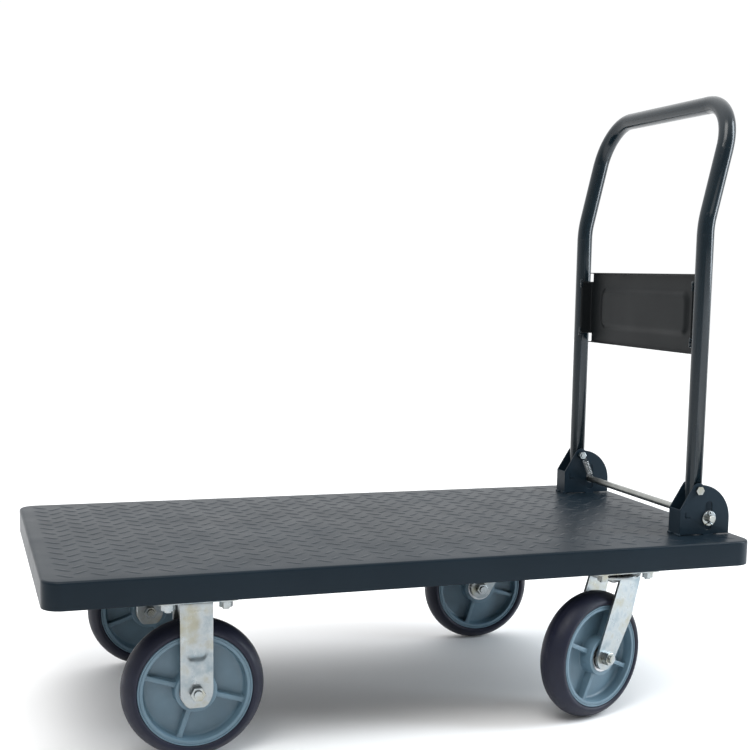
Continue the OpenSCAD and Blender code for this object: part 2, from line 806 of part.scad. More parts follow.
// A swivel leg, seen along Y with the axle at the origin: it rises towards the pivot
module swivel_leg_outline() {
  top = crown_under - wheel_r;
  knee = [trail + swivel_knee[0], swivel_knee[1]];
  back = [trail - swivel_crown_back, top];
  circle(swivel_foot_r);
  polygon([touch(knee, -1), knee, [trail + swivel_crown_front, top], back, touch(back, 1)]);
}

// Where a straight line from p touches the round foot, on the side s
function touch(p, s) = let(a = atan2(p[1], p[0]) + s * acos(swivel_foot_r / norm(p)))
  swivel_foot_r * [cos(a), sin(a)];

module swivel_balls(side) {
  color(bearing_steel) at_swivel(side) {
    for (i = [0 : ball_count - 1]) rotate([0, 0, 360 * i / ball_count])
      translate([ball_pcd / 2, 0, ball_z]) sphere(d = ball_d);
    for (i = [0 : small_ball_count - 1]) rotate([0, 0, 360 * i / small_ball_count])
      translate([small_ball_pcd / 2, 0, small_ball_z]) sphere(d = small_ball_d);
  }
}

module king_pins() {
  low = king_cap_top - king_cap_t - king_tail;
  color(zinc) for (side = [near, far]) at_swivel(side) {
    translate([0, 0, low + king_tail]) cylinder(h = caster_height - countersink - low - king_tail, d = king_d);
    translate([0, 0, caster_height - countersink]) cylinder(h = countersink, d1 = king_d, d2 = king_head_d);
    translate([0, 0, low]) cylinder(h = king_tail, d1 = king_d, d2 = king_d + king_flare);
  }
}

// The dished cap that holds the lower row of balls up against the fork
module king_caps() {
  color(zinc) for (side = [near, far]) at_swivel(side) difference() {
    translate([0, 0, king_cap_top - king_cap_t]) cylinder(h = king_cap_t, d = king_cap_d);
    ball_groove(small_ball_z, small_ball_pcd, small_ball_d);
    translate([0, 0, king_cap_top - king_cap_t - 1]) cylinder(h = king_cap_t + 2, d = king_d);
  }
}

// The bolt runs from its head on the +Y side to its nut on the -Y side
module axle_bolt() {
  color(zinc) on_axle() {
    translate([0, 0, -fork_outer]) cylinder(h = 2 * fork_outer + axle_nut_h + axle_end, d = axle_d);
    translate([0, 0, -fork_outer - axle_head_h]) hex(axle_nut_af, axle_head_h);
  }
}

module axle_nut() {
  color(zinc) on_axle() translate([0, 0, fork_outer]) difference() {
    hex(axle_nut_af, axle_nut_h);
    translate([0, 0, -1]) cylinder(h = axle_nut_h + 2, d = axle_d);
  }
}

module axle_sleeve() {
  color(bearing_steel) on_axle() translate([0, 0, -fork_inner])
    ring(sleeve_d, axle_d + 2 * running_gap, 2 * fork_inner);
}

module fixed_axle_bolts() {
  for (side = [near, far]) at_fixed(side) axle_bolt();
}

module fixed_axle_nuts() {
  for (side = [near, far]) at_fixed(side) axle_nut();
}

// A moulded rubber tyre with a round crown, keyed into the rim's groove
module tyre() {
  color(rubber_black) on_axle() rotate_extrude() {
    intersection() {
      translate([wheel_r - tyre_crown_r, 0]) circle(tyre_crown_r);
      translate([tyre_seat_r, -tyre_width / 2]) square([wheel_r, tyre_width]);
    }
    translate([tyre_seat_r - key_depth, -key_width / 2]) square([key_depth + 1, key_width]);
  }
}

module core(rib_angle) {
  rim_in = tyre_seat_r - rim_t;
  color(core_plastic) on_axle() {
    rotate_extrude() difference() {
      union() {
        translate([rim_in, -rim_width / 2]) square([rim_t, rim_width]);
        translate([bearing_d / 2, -hub_width / 2]) square([(hub_d - bearing_d) / 2, hub_width]);
        translate([hub_d / 2 - 1, -web_t / 2]) square([rim_in - hub_d / 2 + 2, web_t]);
        // the web thickens into the rim
        for (s = [-1, 1]) polygon([[rim_in - web_flare, s * (web_t / 2 - 1)], [rim_in + 1, s * (web_t / 2 - 1)],
          [rim_in + 1, s * (web_t / 2 + web_flare)], [rim_in, s * (web_t / 2 + web_flare)],
          [rim_in - web_flare, s * web_t / 2]]);
      }
      translate([tyre_seat_r - key_depth, -key_width / 2]) square([key_depth + 1, key_width]);
    }
    for (i = [0 : rib_count - 1]) rotate([0, 0, rib_angle + 360 * i / rib_count])
      translate([hub_d / 2 - 1, -rib_t / 2, -rib_width / 2]) cube([rim_in - hub_d / 2 + 2, rib_t, rib_width]);
    translate([0, 0, -bearing_rest / 2]) ring(bearing_d + 2, bearing_d - 2 * bearing_step, bearing_rest);
  }
}

// Two sealed ball bearings, one at each end of the hub, seen as their closed outer shape
module bearings() {
  color(bearing_steel) on_axle() for (s = [-1, 1])
    translate([0, 0, s * (hub_width - bearing_w) / 2]) rotate_extrude() difference() {
      translate([sleeve_d / 2 + running_gap, -bearing_w / 2])
        square([(bearing_d - sleeve_d) / 2 - running_gap, bearing_w]);
      translate([sleeve_d / 2 + seal_inset, s > 0 ? bearing_w / 2 - seal_depth : -bearing_w / 2 - 1])
        square([(bearing_d - sleeve_d) / 2 - 2 * seal_inset, seal_depth + 1]);
    }
}

module at_wheel_fixed(side) {
  at_fixed(side) children();
}

module at_wheel_swivel(side) {
  on_swivel(side) translate([-trail, 0, 0]) children();
}

deck();
cross_channel(fixed_x);  // cross_channel_fixed
cross_channel(swivel_x);  // cross_channel_swivel
stiffener(-stiffener_pitch);  // stiffener_near
stiffener(0);  // stiffener_middle
stiffener(stiffener_pitch);  // stiffener_far
bracket(near);  // bracket_near
bracket(far);  // bracket_far
pivot_bolts();
pivot_nuts();
handle_tube();
handle_panel();
pivot_bushes();
lock_rod();
lock_rod_washers();
cotter_pins();
spring(near);  // spring_near
spring(far);  // spring_far
fixed_plate(near);  // fixed_plate_near
fixed_plate(far);  // fixed_plate_far
swivel_plate(near);  // swivel_plate_near
swivel_plate(far);  // swivel_plate_far
caster_bolts();
caster_washers();
caster_nuts();
fixed_fork(near);  // fixed_fork_near
fixed_fork(far);  // fixed_fork_far
fixed_axle_bolts();
fixed_axle_nuts();
at_wheel_fixed(near) axle_sleeve();  // fixed_sleeve_near
at_wheel_fixed(far) axle_sleeve();  // fixed_sleeve_far
swivel_fork(near);  // swivel_fork_near
swivel_fork(far);  // swivel_fork_far
at_wheel_swivel(near) axle_bolt();  // swivel_axle_bolt_near
at_wheel_swivel(far) axle_bolt();  // swivel_axle_bolt_far
at_wheel_swivel(near) axle_nut();  // swivel_axle_nut_near
at_wheel_swivel(far) axle_nut();  // swivel_axle_nut_far
at_wheel_swivel(near) axle_sleeve();  // swivel_sleeve_near
at_wheel_swivel(far) axle_sleeve();  // swivel_sleeve_far
swivel_balls(near);  // swivel_balls_near
swivel_balls(far);  // swivel_balls_far
king_pins();
king_caps();
at_wheel_fixed(near) tyre();  // tyre_fixed_near
at_wheel_fixed(far) tyre();  // tyre_fixed_far
at_wheel_swivel(near) tyre();  // tyre_swivel_near
at_wheel_swivel(far) tyre();  // tyre_swivel_far
at_wheel_fixed(near) core(rib_angle_fixed_near);  // core_fixed_near
at_wheel_fixed(far) core(rib_angle_fixed_far);  // core_fixed_far
at_wheel_swivel(near) core(rib_angle_swivel_near);  // core_swivel_near
at_wheel_swivel(far) core(rib_angle_swivel_far);  // core_swivel_far
at_wheel_fixed(near) bearings();  // bearings_fixed_near
at_wheel_fixed(far) bearings();  // bearings_fixed_far
at_wheel_swivel(near) bearings();  // bearings_swivel_near
at_wheel_swivel(far) bearings();  // bearings_swivel_far
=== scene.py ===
import json
import math
import random

import bmesh
import bpy
from mathutils import Matrix, Vector


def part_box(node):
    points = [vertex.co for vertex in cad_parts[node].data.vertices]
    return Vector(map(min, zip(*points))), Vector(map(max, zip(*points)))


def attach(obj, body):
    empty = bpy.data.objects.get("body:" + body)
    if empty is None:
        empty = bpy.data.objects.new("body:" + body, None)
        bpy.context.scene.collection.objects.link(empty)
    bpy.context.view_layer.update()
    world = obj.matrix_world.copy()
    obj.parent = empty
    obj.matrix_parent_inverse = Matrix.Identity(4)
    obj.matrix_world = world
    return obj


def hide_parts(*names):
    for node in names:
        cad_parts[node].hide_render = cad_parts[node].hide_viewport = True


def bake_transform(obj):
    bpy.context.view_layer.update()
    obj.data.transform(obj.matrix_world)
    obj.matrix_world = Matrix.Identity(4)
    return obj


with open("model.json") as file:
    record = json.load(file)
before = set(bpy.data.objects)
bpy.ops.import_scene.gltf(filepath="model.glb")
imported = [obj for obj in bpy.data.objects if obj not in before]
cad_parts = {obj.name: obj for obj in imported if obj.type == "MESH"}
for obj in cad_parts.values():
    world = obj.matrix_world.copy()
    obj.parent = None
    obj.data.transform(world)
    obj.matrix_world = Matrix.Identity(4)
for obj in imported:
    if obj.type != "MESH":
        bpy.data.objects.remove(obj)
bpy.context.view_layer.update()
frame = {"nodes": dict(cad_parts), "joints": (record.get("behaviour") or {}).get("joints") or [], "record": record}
nodes = frame["nodes"]
print("frame loaded:", len(nodes), "nodes")

# Which way along Y each side of the cart lies
sides = {"near": -1, "far": 1}


def centreOf(node):
    low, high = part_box(node)
    return (low + high) / 2


# The frame's deck carries a raised tread field, so its sheet lies a little lower than its box
treadField = 0.0005
deckLow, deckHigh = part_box("deck")
deckTop = round(deckHigh.z - treadField, 4)
deckLength = deckHigh.x - deckLow.x
deckWidth = deckHigh.y - deckLow.y
joints = {j["name"]: j for j in frame["joints"]}


def newMaterial(name):
    mat = bpy.data.materials.new(name)
    mat.use_nodes = True
    tree = mat.node_tree
    return mat, tree, tree.nodes["Principled BSDF"], tree.links.new


def addNoise(tree, scale, detail=3.0, rough=0.5, stretch=None):
    coords = tree.nodes.new("ShaderNodeTexCoord")
    noise = tree.nodes.new("ShaderNodeTexNoise")
    noise.inputs["Scale"].default_value = scale
    noise.inputs["Detail"].default_value = detail
    noise.inputs["Roughness"].default_value = rough
    if stretch:
        mapping = tree.nodes.new("ShaderNodeMapping")
        mapping.inputs["Scale"].default_value = stretch
        tree.links.new(coords.outputs["Object"], mapping.inputs["Vector"])
        tree.links.new(mapping.outputs["Vector"], noise.inputs["Vector"])
    else:
        tree.links.new(coords.outputs["Object"], noise.inputs["Vector"])
    return noise


def addRamp(tree, source, stops):
    ramp = tree.nodes.new("ShaderNodeValToRGB")
    elements = ramp.color_ramp.elements
    while len(elements) < len(stops):
        elements.new(0.5)
    for element, (place, colour) in zip(elements, stops):
        element.position = place
        element.color = tuple(colour) + (1.0,)
    tree.links.new(source, ramp.inputs["Fac"])
    return ramp


def addRange(tree, source, low, high, start=0.3, end=0.7):
    scaled = tree.nodes.new("ShaderNodeMapRange")
    scaled.inputs["From Min"].default_value = start
    scaled.inputs["From Max"].default_value = end
    scaled.inputs["To Min"].default_value = low
    scaled.inputs["To Max"].default_value = high
    tree.links.new(source, scaled.inputs["Value"])
    return scaled


def addBump(tree, bsdf, heights, distance, strength=1.0):
    previous = None
    for height in heights:
        bump = tree.nodes.new("ShaderNodeBump")
        bump.inputs["Distance"].default_value = distance
        bump.inputs["Strength"].default_value = strength
        tree.links.new(height, bump.inputs["Height"])
        if previous:
            tree.links.new(previous.outputs["Normal"], bump.inputs["Normal"])
        previous = bump
    tree.links.new(previous.outputs["Normal"], bsdf.inputs["Normal"])


# Powder coat: a fine orange-peel skin over steel, a little uneven in tone and shine
def powderCoat(name, tone, shade, rough, gloss, peel=0.00004, coat=0.0):
    mat, tree, bsdf, link = newMaterial(name)
    cloud = addNoise(tree, 5.0, 4.0)
    tint = addRamp(tree, cloud.outputs["Fac"], [(0.3, shade), (0.7, tone)])
    link(tint.outputs["Color"], bsdf.inputs["Base Color"])
    shine = addNoise(tree, 14.0, 5.0)
    link(addRange(tree, shine.outputs["Fac"], *rough).outputs["Result"], bsdf.inputs["Roughness"])
    skin = addNoise(tree, 900.0, 2.0)
    speck = addNoise(tree, 2600.0, 1.0)
    addBump(tree, bsdf, [skin.outputs["Fac"], speck.outputs["Fac"]], peel)
    bsdf.inputs["Coat Weight"].default_value = coat
    bsdf.inputs["Coat Roughness"].default_value = 0.12
    bsdf.inputs["Specular IOR Level"].default_value = gloss
    return mat


# Bright zinc plate: cloudy, faintly blue and yellow, with rolling marks in the sheet
def zincPlate(name, rough=(0.24, 0.42), grain=(40.0, 40.0, 4.0), tint=0.5):
    mat, tree, bsdf, link = newMaterial(name)
    bsdf.inputs["Metallic"].default_value = 1.0
    cloud = addNoise(tree, 28.0, 5.0, 0.6)
    cool, warm, pale = (0.20, 0.245, 0.27), (0.28, 0.275, 0.225), (0.32, 0.345, 0.355)
    ramp = addRamp(tree, cloud.outputs["Fac"], [(0.32, cool), (0.5, pale), (0.68, warm)])
    link(ramp.outputs["Color"], bsdf.inputs["Base Color"])
    spangle = addNoise(tree, 70.0, 6.0, 0.65)
    link(addRange(tree, spangle.outputs["Fac"], *rough).outputs["Result"], bsdf.inputs["Roughness"])
    lines = addNoise(tree, 60.0, 4.0, 0.6, grain)
    pits = addNoise(tree, 1500.0, 2.0)
    addBump(tree, bsdf, [lines.outputs["Fac"], pits.outputs["Fac"]], 0.00003)
    return mat


# Bare or turned steel, with fine marks along one direction
def turnedSteel(name, tone, rough, marks):
    mat, tree, bsdf, link = newMaterial(name)
    bsdf.inputs["Metallic"].default_value = 1.0
    cloud = addNoise(tree, 60.0, 4.0)
    dark = tuple(0.78 * c for c in tone)
    tint = addRamp(tree, cloud.outputs["Fac"], [(0.3, dark), (0.7, tone)])
    link(tint.outputs["Color"], bsdf.inputs["Base Color"])
    streak = addNoise(tree, 300.0, 3.0, 0.6, marks)
    link(addRange(tree, streak.outputs["Fac"], *rough).outputs["Result"], bsdf.inputs["Roughness"])
    addBump(tree, bsdf, [streak.outputs["Fac"]], 0.00002)
    return mat


# Moulded tyre rubber: matt, almost black, with a bloom and a fine skin
def tyreRubber(name):
    mat, tree, bsdf, link = newMaterial(name)
    bloom = addNoise(tree, 22.0, 5.0, 0.6)
    fresh, bloomed = (0.0055, 0.0068, 0.0165), (0.0090, 0.0110, 0.0250)
    tint = addRamp(tree, bloom.outputs["Fac"], [(0.3, fresh), (0.72, bloomed)])
    link(tint.outputs["Color"], bsdf.inputs["Base Color"])
    scuff = addNoise(tree, 90.0, 4.0, 0.6)
    link(addRange(tree, scuff.outputs["Fac"], 0.40, 0.56).outputs["Result"], bsdf.inputs["Roughness"])
    grain = addNoise(tree, 2200.0, 2.0)
    addBump(tree, bsdf, [scuff.outputs["Fac"], grain.outputs["Fac"]], 0.00005)
    bsdf.inputs["Specular IOR Level"].default_value = 0.25
    bsdf.inputs["Sheen Weight"].default_value = 0.02
    bsdf.inputs["Sheen Roughness"].default_value = 0.5
    return mat


# Moulded plastic wheel core: blue-grey, satin, with flow marks
def corePlastic(name):
    mat, tree, bsdf, link = newMaterial(name)
    flow = addNoise(tree, 18.0, 4.0, 0.55)
    deep, light = (0.080, 0.138, 0.182), (0.106, 0.174, 0.222)
    tint = addRamp(tree, flow.outputs["Fac"], [(0.3, deep), (0.7, light)])
    link(tint.outputs["Color"], bsdf.inputs["Base Color"])
    haze = addNoise(tree, 60.0, 4.0)
    link(addRange(tree, haze.outputs["Fac"], 0.36, 0.5).outputs["Result"], bsdf.inputs["Roughness"])
    grain = addNoise(tree, 1400.0, 2.0)
    addBump(tree, bsdf, [grain.outputs["Fac"]], 0.00005)
    return mat


deckPaint = powderCoat("deck_paint", (0.0080, 0.0150, 0.0220), (0.0060, 0.0116, 0.0172),
                       (0.32, 0.39), 0.10, coat=0.02)
bracketPaint = powderCoat("bracket_paint", (0.0100, 0.0205, 0.0310), (0.0076, 0.0160, 0.0245),
                          (0.34, 0.42), 0.12)
tubePaint = powderCoat("tube_paint", (0.0060, 0.0130, 0.0185), (0.0045, 0.0100, 0.0145),
                       (0.17, 0.24), 0.25, coat=0.25)
panelPaint = powderCoat("panel_paint", (0.0085, 0.0100, 0.0110), (0.0068, 0.0082, 0.0092),
                        (0.36, 0.44), 0.12)
zincSheet = zincPlate("zinc_sheet")
zincFastener = zincPlate("zinc_fastener", (0.16, 0.30), (30.0, 30.0, 30.0))
springWire = turnedSteel("spring_wire", (0.42, 0.44, 0.45), (0.16, 0.28), (1.0, 1.0, 1.0))
rodSteel = turnedSteel("rod_steel", (0.40, 0.41, 0.39), (0.28, 0.42), (8.0, 0.4, 8.0))
bearingSteel = turnedSteel("bearing_steel", (0.52, 0.53, 0.55), (0.22, 0.36), (1.0, 1.0, 1.0))
blackRubber = tyreRubber("tyre_rubber")
wheelPlastic = corePlastic("core_plastic")

finishes = {
    "deck_paint": deckPaint,
    "tube_paint": tubePaint,
    "panel_paint": panelPaint,
    "zinc_sheet": zincSheet,
    "zinc_fastener": zincFastener,
    "spring_steel": springWire,
    "rod_steel": rodSteel,
    "bearing_steel": bearingSteel,
    "tyre_rubber": blackRubber,
    "core_plastic": wheelPlastic,
}

slotOf = {s["node"]: s["material_slot"] for s in frame["record"]["subparts"]}
for nodeName, cadObject in nodes.items():
    finish = finishes[slotOf[nodeName]]
    if nodeName.startswith("bracket"):
        finish = bracketPaint
    for place in cadObject.material_slots:
        place.material = finish
print("finishes set")


# A finished mesh as an object that rides one body, or no body if none is given
def meshObject(name, bm, material, body, smooth=True):
    mesh = bpy.data.meshes.new(name)
    bmesh.ops.recalc_face_normals(bm, faces=bm.faces)
    bm.to_mesh(mesh)
    bm.free()
    obj = bpy.data.objects.new(name, mesh)
    bpy.context.scene.collection.objects.link(obj)
    mesh.materials.append(material)
    if smooth:
        mesh.shade_smooth()
        mesh.set_sharp_from_angle(angle=math.radians(38))
    if body:
        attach(obj, body)
    return obj


# Closed rings of points joined side by side, with a cap on the first and last if asked
def loft(bm, rings, capFirst=True, capLast=True):
    made = [[bm.verts.new(p) for p in ring] for ring in rings]
    count = len(made[0])
    for a, b in zip(made, made[1:]):
        for i in range(count):
            j = (i + 1) % count
            bm.faces.new((a[i], a[j], b[j], b[i]))
    if capFirst:
        bm.faces.new(list(reversed(made[0])))
    if capLast:
        bm.faces.new(made[-1])
    return made


def roundedLoop(halfX, halfY, radius, z, steps=10):
    points = []
    corners = [(1, 1, 0), (-1, 1, 90), (-1, -1, 180), (1, -1, 270)]
    for sx, sy, start in corners:
        for i in range(steps + 1):
            a = math.radians(start + 90 * i / steps)
            points.append(Vector((sx * (halfX - radius) + radius * math.cos(a),
                                  sy * (halfY - radius) + radius * math.sin(a), z)))
    return points


# The deck: one pressed sheet with a folded skirt, and rows of small ridges raised on its top
deckLook = {
    "cornerRadius": 0.028,
    "edgeRadius": 0.0042,
    "sheet": 0.002,
    "hem": 0.0008,
    "treadPitch": (0.045, 0.038),
    "treadLength": 0.030,
    "treadWidth": 0.0075,
    "treadHeight": 0.0007,
    "treadAngle": 38,
    "treadBorder": 0.006,
    "treadBow": 0.0011,
    "treadRoot": 0.0006,
}


def makeDeck(look):
    halfX, halfY = deckLength / 2, deckWidth / 2
    corner, edge, sheet, hem = look["cornerRadius"], look["edgeRadius"], look["sheet"], look["hem"]
    skirtFoot = deckLow.z
    outer = [(0, skirtFoot + hem), (0, deckTop - edge)]
    outer += [(edge - edge * math.cos(a), deckTop - edge + edge * math.sin(a))
              for a in [math.radians(15 * i) for i in range(1, 7)]]
    innerBend = edge - sheet
    inner = [(sheet, skirtFoot + hem), (sheet, deckTop - edge)]
    inner += [(edge - innerBend * math.cos(a), deckTop - edge + innerBend * math.sin(a))
              for a in [math.radians(22.5 * i) for i in range(1, 5)]]
    profile = list(reversed(outer)) + [(hem, skirtFoot), (sheet - hem, skirtFoot)] + inner
    rings = [roundedLoop(halfX - d, halfY - d, corner - d, z) for d, z in profile]
    bm = bmesh.new()
    loft(bm, rings)
    deck = meshObject("deck_shell", bm, deckPaint, "chassis")
    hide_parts("deck")


# A low lens-shaped ridge, slightly curved, sunk into the sheet so that it is closed
def addRidge(bm, x, y, angle, bow, look):
    length, width, height = look["treadLength"], look["treadWidth"], look["treadHeight"]
    steps, across = 12, 6
    ca, sa = math.cos(angle), math.sin(angle)
    rows = []
    for i in range(steps + 1):
        t = 2 * i / steps - 1
        half = width / 2 * (1 - t * t) ** 0.7 + 0.0004
        shift = bow * math.sin(math.pi * t)
        row = []
        for k in range(across + 1):
            s = 2 * k / across - 1
            u, v = t * length / 2, s * half + shift
            rise = height * (1 - s * s) * (1 - t ** 4)
            row.append(bm.verts.new((x + u * ca - v * sa, y + u * sa + v * ca, deckTop + rise - 0.00002)))
        rows.append(row)
    for a, b in zip(rows, rows[1:]):
        for k in range(across):
            bm.faces.new((a[k], b[k], b[k + 1], a[k + 1]))
    rim = [r[0] for r in rows] + rows[-1][1:]
    rim += [r[-1] for r in reversed(rows[:-1])] + list(reversed(rows[0][1:-1]))
    sunk = [bm.verts.new((v.co.x, v.co.y, deckTop - look["treadRoot"])) for v in rim]
    for i in range(len(rim)):
        j = (i + 1) % len(rim)
        bm.faces.new((rim[i], rim[j], sunk[j], sunk[i]))
    bm.faces.new(list(reversed(sunk)))


def makeTread(look):
    pitchX, pitchY = look["treadPitch"]
    reach = look["treadLength"] / 2
    halfX = deckLength / 2 - look["treadBorder"] - reach * 0.8
    halfY = deckWidth / 2 - look["treadBorder"] - reach * 0.65
    bracketFoot = [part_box("bracket_" + side) for side in sides]
    bm = bmesh.new()
    columns, rows = int(2 * halfX / pitchX), int(2 * halfY / pitchY)
    for i in range(-1, 2 * columns + 2):
        for j in range(-1, 2 * rows + 2):
            if (i + j) % 2:
                continue
            x = (i / 2 - columns / 2) * pitchX
            y = (j / 2 - rows / 2) * pitchY
            if abs(x) > halfX or abs(y) > halfY:
                continue
            if any(lo.x - reach < x < hi.x + reach and lo.y - reach < y < hi.y + reach
                   for lo, hi in bracketFoot):
                continue
            turn = 1 if i % 2 else -1
            addRidge(bm, x, y, math.radians(turn * look["treadAngle"]), turn * look["treadBow"], look)
    meshObject("deck_tread", bm, deckPaint, "chassis")


makeDeck(deckLook)
makeTread(deckLook)
print("deck made")


# A round wire along a list of points, closed at both ends
def tubeAlong(bm, points, radius, around=10):
    frameUp = Vector((0.31, 0.87, 0.38))
    rings = []
    for i, point in enumerate(points):
        ahead = (points[min(i + 1, len(points) - 1)] - points[max(i - 1, 0)]).normalized()
        frameUp = (frameUp - ahead * frameUp.dot(ahead)).normalized()
        across = ahead.cross(frameUp)
        turns = [2 * math.pi * k / around for k in range(around)]
        rings.append([point + radius * (math.cos(a) * frameUp + math.sin(a) * across) for a in turns])
    loft(bm, rings)


# A profile of (offset along the axle, radius) turned through one full round about the axle
def lathe(bm, profile, place, around=128):
    rings = []
    for k in range(around):
        a = 2 * math.pi * k / around
        rings.append([bm.verts.new(place @ Vector((r * math.cos(a), r * math.sin(a), offset)))
                      for offset, r in profile])
    count = len(profile)
    for k in range(around):
        one, two = rings[k], rings[(k + 1) % around]
        for i in range(count):
            j = (i + 1) % count
            bm.faces.new((one[i], one[j], two[j], two[i]))


# An uneven bead, such as one drop of weld metal
def addLump(bm, centre, size, rng, level=3):
    made = bmesh.ops.create_icosphere(bm, subdivisions=level, radius=1.0)["verts"]
    waves = [(rng.uniform(2, 5), rng.uniform(0, 6.28), rng.choice("xyz")) for _ in range(5)]
    for v in made:
        d = v.co.normalized()
        swell = 1 + sum(0.06 * math.sin(f * getattr(d, axis) * 2 + p) for f, p, axis in waves)
        v.co = Vector(centre) + Vector((d.x * size[0], d.y * size[1], d.z * size[2])) * swell


# The wheels: a moulded tyre with a round crown on a ribbed core
wheelLook = {
    "radius": 0.1016,
    "halfTread": 0.0250,
    "crown": 0.0296,
    "seat": 0.0818,
    "rimHalf": 0.0236,
    "lip": 0.0794,
    "rimInner": 0.0735,
    "webHalf": 0.0046,
    "hub": 0.0298,
    "hubHalf": 0.0270,
    "bore": 0.0236,
    "ribThick": 0.0080,
    "ribHalf": 0.0188,
}

# Where the first rib of each wheel points at rest, in degrees
ribAngles = {"fixed_near": -18, "fixed_far": 20, "swivel_near": -24, "swivel_far": -17}


# The wheel's own frame: its axle is local Z and points to the near side
def wheelPlace(name):
    axis = Vector(joints["wheel_" + name + "_spin"]["axis"]).normalized()
    across = Vector((0, 0, 1)).cross(axis).normalized()
    turn = Matrix((across, Vector((0, 0, 1)), axis)).transposed().to_4x4()
    return Matrix.Translation(centreOf("tyre_" + name)) @ turn


def makeTyre(name, look):
    centre, crown, half = look["radius"] - look["crown"], look["crown"], look["halfTread"]
    reach = math.degrees(math.asin(half / crown))
    steps = 26
    outside = []
    for i in range(steps + 1):
        a = math.radians(-reach + 2 * reach * i / steps)
        outside.append((crown * math.sin(a), centre + crown * math.cos(a)))
    outside[steps // 2 - 1:steps // 2 + 2] = [
        (-0.0007, look["radius"] - 0.0003), (-0.0004, look["radius"]),
        (0.0004, look["radius"]), (0.0007, look["radius"] - 0.0003)]
    seat = look["seat"]
    bead = [(half - 0.0001, seat + 0.0040), (half - 0.0006, seat + 0.0016), (half - 0.0018, seat + 0.0004)]
    inside = [(half - 0.0030, seat), (0.0082, seat), (0.0080, seat - 0.0026),
              (-0.0080, seat - 0.0026), (-0.0082, seat), (-half + 0.0030, seat)]
    profile = outside + bead + inside + [(-a, r) for a, r in reversed(bead)]
    bm = bmesh.new()
    lathe(bm, profile, wheelPlace(name), 160)
    tyre = meshObject("moulded_tyre_" + name, bm, blackRubber, "wheel_" + name)
    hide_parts("tyre_" + name)


def makeCore(name, look):
    rim, lip, inner, web = look["rimHalf"], look["lip"], look["rimInner"], look["webHalf"]
    hub, hubHalf, seat = look["hub"], look["hubHalf"], look["seat"] - 0.0002
    fillet = 0.0052
    half = [(0.0080, seat), (rim - 0.0010, seat), (rim - 0.0002, seat - 0.0005), (rim, seat - 0.0013),
            (rim, lip + 0.0005), (rim - 0.0003, lip), (rim - 0.0012, lip - 0.0003),
            (rim - 0.0014, lip - 0.0010), (rim - 0.0007, lip - 0.0014), (rim - 0.0006, inner + 0.0012),
            (rim - 0.0009, inner + 0.0004), (rim - 0.0018, inner)]
    for i in range(7):
        a = math.radians(90 * i / 6)
        half.append((web + fillet - fillet * math.sin(a), inner - 0.0012 - fillet + fillet * math.cos(a)))
    small = 0.0022
    for i in range(5):
        a = math.radians(90 * i / 4)
        half.append((web + small - small * math.cos(a), hub + 0.0006 + small - small * math.sin(a)))
    half += [(hubHalf - 0.0012, hub), (hubHalf - 0.0003, hub - 0.0004), (hubHalf, hub - 0.0012),
             (hubHalf, look["bore"] + 0.0006), (hubHalf - 0.0006, look["bore"])]
    profile = half + [(-a, r) for a, r in reversed(half)]
    key = [(-0.0078, seat - 0.0028), (0.0078, seat - 0.0028)]
    place = wheelPlace(name)
    bm = bmesh.new()
    lathe(bm, profile + key, place, 144)
    for i in range(4):
        addRib(bm, place, math.radians(ribAngles[name] + 90 * i), look)
    core = meshObject("moulded_core_" + name, bm, wheelPlastic, "wheel_" + name)
    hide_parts("core_" + name)


# A tapered rib from the hub to the rim, on both sides of the web, with soft edges
def addRib(bm, place, angle, look):
    ca, sa = math.cos(angle), math.sin(angle)
    rings = []
    foot, head = look["hub"] - 0.0012, look["rimInner"] - 0.0006
    for i in range(9):
        t = i / 8
        r = foot + (head - foot) * t
        flare = 0.0016 * (max(0, 1 - 8 * t) + max(0, 8 * t - 7))
        thick = look["ribThick"] / 2 - 0.0006 + flare
        high = look["ribHalf"] - 0.0022 * t
        soft = 0.0011
        edge = [(thick, high - soft), (thick - soft * 0.3, high - soft * 0.3), (thick - soft, high)]
        outline = edge + [(-u, v) for u, v in reversed(edge)]
        outline += [(-u, -v) for u, v in edge] + [(u, -v) for u, v in reversed(edge)]
        rings.append([place @ Vector((r * ca - u * sa, r * sa + u * ca, v)) for u, v in outline])
    loft(bm, rings)


for wheel in ribAngles:
    makeTyre(wheel, wheelLook)
    makeCore(wheel, wheelLook)
print("wheels made")


# The fixed forks: one strip folded over the wheel, with a long field stamped into each leg
forkLook = {
    "legHalf": 0.0230,
    "footHalf": 0.0130,
    "below": 0.0220,
    "taper": 0.0240,
    "sheet": 0.0040,
    "outer": 0.0335,
    "bend": 0.0060,
    "recessHalf": 0.0158,
    "recessEnd": 0.0445,
    "recessFlat": 0.0080,
    "recessArm": 0.0120,
    "recessFade": 0.0075,
    "recessDepth": 0.0016,
}


# How deep the stamping is at x across and z above the axle; its flat end turns up at the sides
def stampDepth(x, z, look):
    half, end = look["recessHalf"], look["recessEnd"]
    edge = abs(x) - half
    arm = max(0.0, (abs(x) - look["recessFlat"]) / (half - look["recessFlat"]))
    low = end + look["recessArm"] * arm ** 2 - z
    soft = 0.0032
    side = min(1.0, max(0.0, -edge / soft))
    foot = min(1.0, max(0.0, -low / look["recessFade"]))
    top = min(1.0, max(0.0, (look["top"] - z) / 0.006))
    t = min(side, foot, top)
    return look["recessDepth"] * t * t * (3 - 2 * t)


